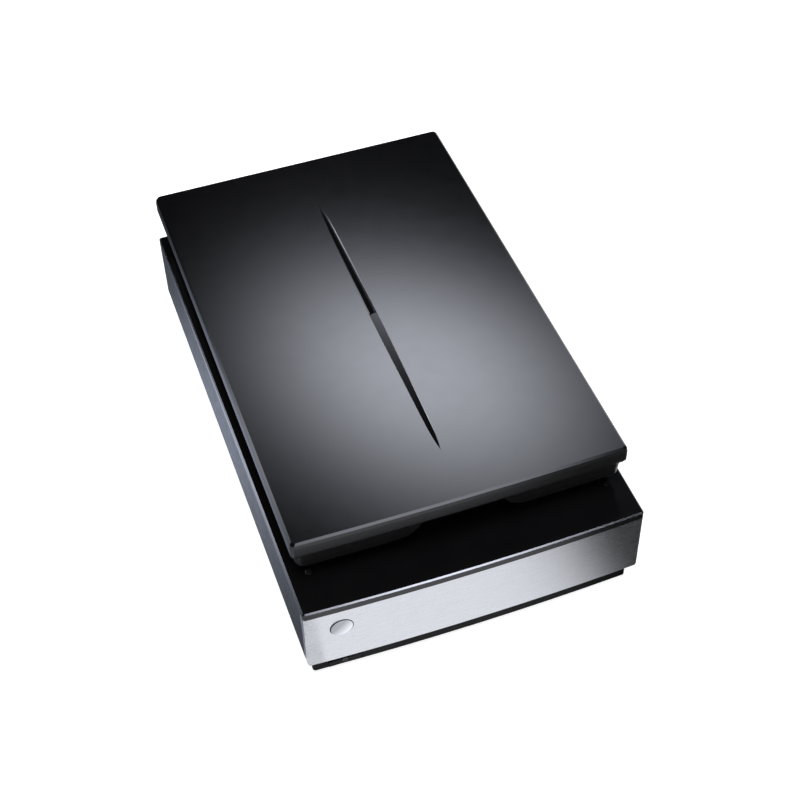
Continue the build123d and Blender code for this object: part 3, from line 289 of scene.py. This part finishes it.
def make_finishes():
    """One material for each of the record's slots."""
    black = (0.010, 0.010, 0.011)
    soft_black = (0.016, 0.016, 0.017)
    return {
        "lid_gloss": lid_gloss(),
        "lid_band": plastic("lid_band", (0.007, 0.007, 0.007), (0.009, 0.009, 0.009), (0.32, 0.42),
                            1800.0, 0.00003, 0.15),
        "deck_gloss": deck_gloss(),
        "case_satin": plastic("case_satin", (0.020, 0.022, 0.027), (0.027, 0.029, 0.035), (0.36, 0.46),
                              2200.0, 0.00004),
        "tray_black": plastic("tray_black", (0.002, 0.002, 0.002), (0.004, 0.004, 0.004), (0.45, 0.58),
                              1600.0, 0.00006, 0.06),
        "fascia_brushed": metal("fascia_brushed", (0.56, 0.57, 0.58), (0.67, 0.68, 0.69), (0.25, 0.32),
                                ALONG_X, 2600.0, 0.00002, 0.8),
        "bed_glass": clear("bed_glass", (0.93, 0.98, 0.96), (0.01, 0.03), 1.5),
        "panel_black": plastic("panel_black", black, soft_black, (0.5, 0.6), 1400.0, 0.00006),
        "foot_rubber": plastic("foot_rubber", (0.012, 0.012, 0.012), (0.025, 0.025, 0.024), (0.7, 0.85),
                               1200.0, 0.0001),
        "pad_rubber": plastic("pad_rubber", (0.002, 0.002, 0.002), (0.004, 0.004, 0.004), (0.35, 0.5),
                              1500.0, 0.00004, 0.2),
        "screw_zinc": metal("screw_zinc", (0.35, 0.35, 0.36), (0.55, 0.55, 0.56), (0.25, 0.4), ALONG_X),
        "button_silver": start_lacquer_painted_shade(),
        "button_black": plastic("button_black", (0.002, 0.002, 0.002), (0.004, 0.004, 0.004), (0.4, 0.5),
                                1500.0, 0.00001, 0.06),
        "lock_grey": plastic("lock_grey", (0.20, 0.21, 0.22), (0.27, 0.28, 0.29), (0.4, 0.5),
                             1600.0, 0.00006),
        "board_green": circuit_board(),
        "chip_black": plastic("chip_black", black, soft_black, (0.4, 0.5), 2000.0, 0.00004),
        "led_clear": clear("led_clear", (0.75, 0.95, 0.8), (0.1, 0.2), 1.5),
        "carriage_black": plastic("carriage_black", black, (0.02, 0.02, 0.021), (0.5, 0.62),
                                  1200.0, 0.00008),
        "bush_bronze": metal("bush_bronze", (0.42, 0.26, 0.11), (0.6, 0.4, 0.18), (0.35, 0.5), ALONG_Y),
        "acetal_white": plastic("acetal_white", (0.70, 0.70, 0.67), (0.78, 0.78, 0.75), (0.35, 0.45),
                                1500.0, 0.00005),
        "guide_clear": clear("guide_clear", (0.95, 0.97, 0.97), (0.04, 0.1), 1.49),
        "mirror_silver": metal("mirror_silver", (0.88, 0.88, 0.9), (0.93, 0.93, 0.94), (0.02, 0.04),
                               ALONG_X, 300.0, 0.000001),
        "barrel_black": metal("barrel_black", (0.02, 0.02, 0.02), (0.06, 0.06, 0.06), (0.3, 0.45), ALONG_X),
        "lens_glass": clear("lens_glass", (0.85, 0.9, 1.0), (0.0, 0.02), 1.6),
        "rod_steel": metal("rod_steel", (0.62, 0.62, 0.63), (0.78, 0.78, 0.79), (0.1, 0.2), ALONG_Y),
        "plate_steel": metal("plate_steel", (0.40, 0.41, 0.42), (0.58, 0.59, 0.60), (0.3, 0.45), ALONG_Z),
        "motor_can": metal("motor_can", (0.36, 0.36, 0.37), (0.52, 0.52, 0.53), (0.25, 0.4), ALONG_X),
        "pinion_brass": metal("pinion_brass", (0.62, 0.42, 0.13), (0.80, 0.58, 0.22), (0.25, 0.4), ALONG_X),
        "spring_steel": metal("spring_steel", (0.45, 0.45, 0.46), (0.65, 0.65, 0.66), (0.2, 0.35), ALONG_Y),
        "belt_rubber": plastic("belt_rubber", (0.008, 0.008, 0.008), (0.018, 0.018, 0.018), (0.6, 0.75),
                               900.0, 0.0001),
        "socket_black": plastic("socket_black", (0.008, 0.008, 0.008), black, (0.3, 0.4), 1600.0, 0.00004),
        "socket_metal": metal("socket_metal", (0.55, 0.55, 0.56), (0.72, 0.72, 0.73), (0.22, 0.35),
                              ALONG_Y),
        "window_opal": plastic("window_opal", (0.68, 0.70, 0.72), (0.70, 0.72, 0.74), (0.2, 0.3),
                               1200.0, 0.00001),
        "mat_white": plastic("mat_white", (0.79, 0.79, 0.78), (0.81, 0.81, 0.80), (0.4, 0.52),
                             900.0, 0.00005),
        "lamp_white": plastic("lamp_white", (0.82, 0.84, 0.86), (0.9, 0.91, 0.93), (0.15, 0.25),
                              900.0, 0.00001),
    }


def paint_nodes(finishes):
    for part in frame["record"]["subparts"]:
        for material_slot in node[part["node"]].material_slots:
            material_slot.material = finishes[part["material_slot"]]


# ---------------------------------------------------------------- printed marks

def flat_piece(name, corners, faces, body, material):
    """Thin printed mark that rides on a body."""
    mesh = bpy.data.meshes.new(name)
    mesh.from_pydata(corners, [], faces)
    mesh.materials.append(material)
    piece = bpy.data.objects.new(name, mesh)
    bpy.context.scene.collection.objects.link(piece)
    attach(piece, body)
    return piece


def ink(name, dark, light):
    return plastic(name, dark, light, (0.45, 0.6), 1500.0, 0.00001, 0.2)


def add_power_symbol():
    """Broken ring with an upright bar, printed on the power button."""
    low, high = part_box("power_button")
    x, z = (low.x + high.x) / 2, (low.z + high.z) / 2 + 0.0003
    y = low.y - HAIR
    radius, line, steps = 0.0019, 0.00045, 24
    gap = math.radians(38.0)
    corners = []
    for i in range(steps + 1):
        angle = math.pi / 2 + gap + (2 * math.pi - 2 * gap) * i / steps
        for r in (radius - line / 2, radius + line / 2):
            corners.append((x + r * math.cos(angle), y, z + r * math.sin(angle)))
    faces = [(2 * i, 2 * i + 1, 2 * i + 3, 2 * i + 2) for i in range(steps)]
    first = len(corners)
    for dx, dz in ((-line / 2, 0.0003), (line / 2, 0.0003), (line / 2, 0.0024), (-line / 2, 0.0024)):
        corners.append((x + dx, y, z + dz))
    faces.append((first, first + 1, first + 2, first + 3))
    flat_piece("power_symbol", corners, faces, "power_key",
               ink("symbol_ink", (0.15, 0.15, 0.155), (0.20, 0.20, 0.205)))


def add_bed_scale():
    """Centimetre ticks on the deck along the left side and the rear of the glass."""
    low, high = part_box("document_glass")
    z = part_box("deck_frame")[1].z + HAIR
    step, wide = 0.010, 0.0003
    corners, faces = [], []

    def tick(x0, x1, y0, y1):
        first = len(corners)
        corners.extend([(x0, y0, z), (x1, y0, z), (x1, y1, z), (x0, y1, z)])
        faces.append((first, first + 1, first + 2, first + 3))

    for i in range(int((high.y - low.y) / step)):
        long = 0.005 if i % 5 == 0 else 0.003
        y = high.y - 0.006 - i * step
        tick(low.x - 0.0015 - long, low.x - 0.0015, y - wide / 2, y + wide / 2)
    for i in range(int((high.x - low.x) / step)):
        long = 0.005 if i % 5 == 0 else 0.003
        x = low.x + 0.006 + i * step
        tick(x - wide / 2, x + wide / 2, high.y + 0.0015, high.y + 0.0015 + long)
    flat_piece("bed_scale", corners, faces, "base",
               ink("scale_ink", (0.55, 0.55, 0.56), (0.65, 0.65, 0.66)))


# ---------------------------------------------------------------- floor and lights

WHITE = (1.0, 1.0, 1.0)
COOL = (0.86, 0.89, 1.0)          # light from the softboxes
PALE = (0.93, 0.94, 1.0)          # floor card before the fascia
BLUE = (0.72, 0.80, 1.0)          # bounce from the left
UPRIGHT = (0.0, 0.0, 1.0)
REARWARD = (0.0, 1.0, 0.0)
CARD_HEIGHT = 0.002               # floor cards lie this far over the floor



def add_floor():
    """Pale table that glows a little, so that shadows on it stay faint."""
    reach = 6.0
    mesh = bpy.data.meshes.new("floor")
    corners = [(-reach, -reach, 0.0), (reach, -reach, 0.0), (reach, reach, 0.0), (-reach, reach, 0.0)]
    mesh.from_pydata(corners, [], [(0, 1, 2, 3)])
    floor = bpy.data.objects.new("floor", mesh)
    bpy.context.scene.collection.objects.link(floor)
    material, tree, shader, coords = new_material("floor_white")
    tint = colour_mix(tree, noise(tree, coords, 3.0), (0.80, 0.80, 0.80), (0.83, 0.83, 0.83))
    tree.links.new(tint, shader.inputs["Base Color"])
    shader.inputs["Roughness"].default_value = 0.9
    shader.inputs["Specular IOR Level"].default_value = 0.0
    shader.inputs["Emission Color"].default_value = (1.0, 1.0, 1.0, 1.0)
    shader.inputs["Emission Strength"].default_value = 0.85
    mesh.materials.append(material)


def add_glow(name, centre, normal, along, half_size, sigma, peak, base=0.0, colour=WHITE, flat=1.0,
             only_glossy=False):
    """Light panel that is brightest in its middle and fades as a bell curve, like a softbox's cloth.

    The panel's own Y lies along a direction, and sigma holds the curve's widths on its X and Y.
    A higher flat keeps the middle even and makes the fade quicker. A panel that is only_glossy is
    a reflector card: it shows in glossy surfaces and lights nothing else.
    """
    x, y = half_size
    mesh = bpy.data.meshes.new(name)
    mesh.from_pydata([(-x, -y, 0.0), (x, -y, 0.0), (x, y, 0.0), (-x, y, 0.0)], [], [(0, 1, 2, 3)])
    panel = bpy.data.objects.new(name, mesh)
    out = Vector(normal).normalized()
    upward = (Vector(along) - Vector(along).dot(out) * out).normalized()
    turn = Matrix((upward.cross(out), upward, out)).transposed()
    panel.matrix_world = Matrix.Translation(centre) @ turn.to_4x4()
    bpy.context.scene.collection.objects.link(panel)
    material = bpy.data.materials.new(name)
    material.use_nodes = True
    tree = material.node_tree
    tree.nodes.clear()
    coords = tree.nodes.new("ShaderNodeTexCoord")
    mapping = tree.nodes.new("ShaderNodeMapping")
    mapping.inputs["Scale"].default_value = (1.0 / sigma[0], 1.0 / sigma[1], 0.0)
    distance = tree.nodes.new("ShaderNodeVectorMath")
    distance.operation = "DOT_PRODUCT"
    fall = math_node(tree, "POWER", distance.outputs["Value"], flat)
    bell = math_node(tree, "EXPONENT", math_node(tree, "MULTIPLY", fall, -0.5))
    strength = math_node(tree, "MULTIPLY_ADD", bell, peak, base)
    emission = tree.nodes.new("ShaderNodeEmission")
    emission.inputs["Color"].default_value = (*colour, 1.0)
    output = tree.nodes.new("ShaderNodeOutputMaterial")
    tree.links.new(coords.outputs["Object"], mapping.inputs["Vector"])
    tree.links.new(mapping.outputs["Vector"], distance.inputs[0])
    tree.links.new(mapping.outputs["Vector"], distance.inputs[1])
    tree.links.new(strength, emission.inputs["Strength"])
    tree.links.new(emission.outputs["Emission"], output.inputs["Surface"])
    mesh.materials.append(material)
    panel.visible_camera = False
    panel.visible_shadow = False
    panel.visible_transmission = False
    panel.visible_diffuse = not only_glossy


def add_area(name, place, target, size, power):
    """Rectangular soft light at place that faces target."""
    data = bpy.data.lights.new(name, "AREA")
    data.shape = "RECTANGLE"
    data.size, data.size_y = size
    data.energy = power
    light = bpy.data.objects.new(name, data)
    light.location = place
    light.rotation_euler = (Vector(target) - Vector(place)).to_track_quat("-Z", "Y").to_euler()
    bpy.context.scene.collection.objects.link(light)


def add_lights():
    world = bpy.data.worlds.new("studio")
    world.use_nodes = True
    world.node_tree.nodes["Background"].inputs["Color"].default_value = (1.0, 1.0, 1.0, 1.0)
    world.node_tree.nodes["Background"].inputs["Strength"].default_value = 0.02
    bpy.context.scene.world = world
    under_left = cad_low.x + 0.018      # floor cards reach a little way in under the plinth
    under_front = cad_low.y + 0.030
    add_area("overhead_softbox", (-0.3, -0.5, 2.2), (-0.1, -0.2, 0.0), (1.4, 1.2), 34.0)
    # Round glow on the lid's top.
    add_glow("rear_softbox", (0.603, 1.57, 2.0), (0.0, 0.0, -1.0), (-0.46, 0.89, 0.0),
             half_size=(0.9, 1.1), sigma=(0.228, 0.310), peak=9.0, colour=COOL, flat=1.15)
    # Front bevel of the lid and front chamfer of the deck.
    add_glow("front_softbox", (0.50, -2.2, 1.88), (0.0, 1.0, -0.6), (0.0, 0.5, 1.0),
             half_size=(0.9, 0.6), sigma=(0.52, 0.38), peak=5.2, colour=COOL, flat=3.0)
    # Left chamfer of the deck and left bevel of the lid.
    add_glow("left_rear_card", (-1.32, 0.88, 0.32), (0.76, -0.62, -0.1), UPRIGHT,
             half_size=(0.7, 0.28), sigma=(0.13, 0.12), peak=3.4, colour=COOL, only_glossy=True)
    # Right and left edges of the groove.
    add_glow("left_high_card", (-1.05, 1.22, 0.94), (0.62, -0.68, -0.40), UPRIGHT,
             half_size=(0.7, 0.3), sigma=(0.45, 0.16), peak=26.0, colour=COOL, only_glossy=True)
    add_glow("right_rear_card", (1.17, 1.04, 0.21), (-0.75, -0.66, 0.0), UPRIGHT,
             half_size=(0.3, 0.18), sigma=(0.05, 0.10), peak=26.0, colour=COOL, only_glossy=True)
    # Fascia, fading toward its right end.
    add_glow("front_card", (-0.33, under_front - 0.40, CARD_HEIGHT), UPRIGHT, REARWARD,
             half_size=(0.76, 0.40), sigma=(0.447, 1.5), peak=1.22, base=0.03, colour=PALE, flat=8.0,
             only_glossy=True)
    # Left wall, brightest along its middle.
    add_glow("left_card", (under_left - 0.33, 0.07, CARD_HEIGHT), UPRIGHT, REARWARD,
             half_size=(0.33, 0.6), sigma=(2.0, 0.13), peak=1.05, base=0.05, colour=BLUE, flat=1.0,
             only_glossy=True)
    bpy.context.scene.view_settings.view_transform = "Standard"


add_camera()
paint_nodes(make_finishes())
add_power_symbol()
add_bed_scale()
add_floor()
add_lights()
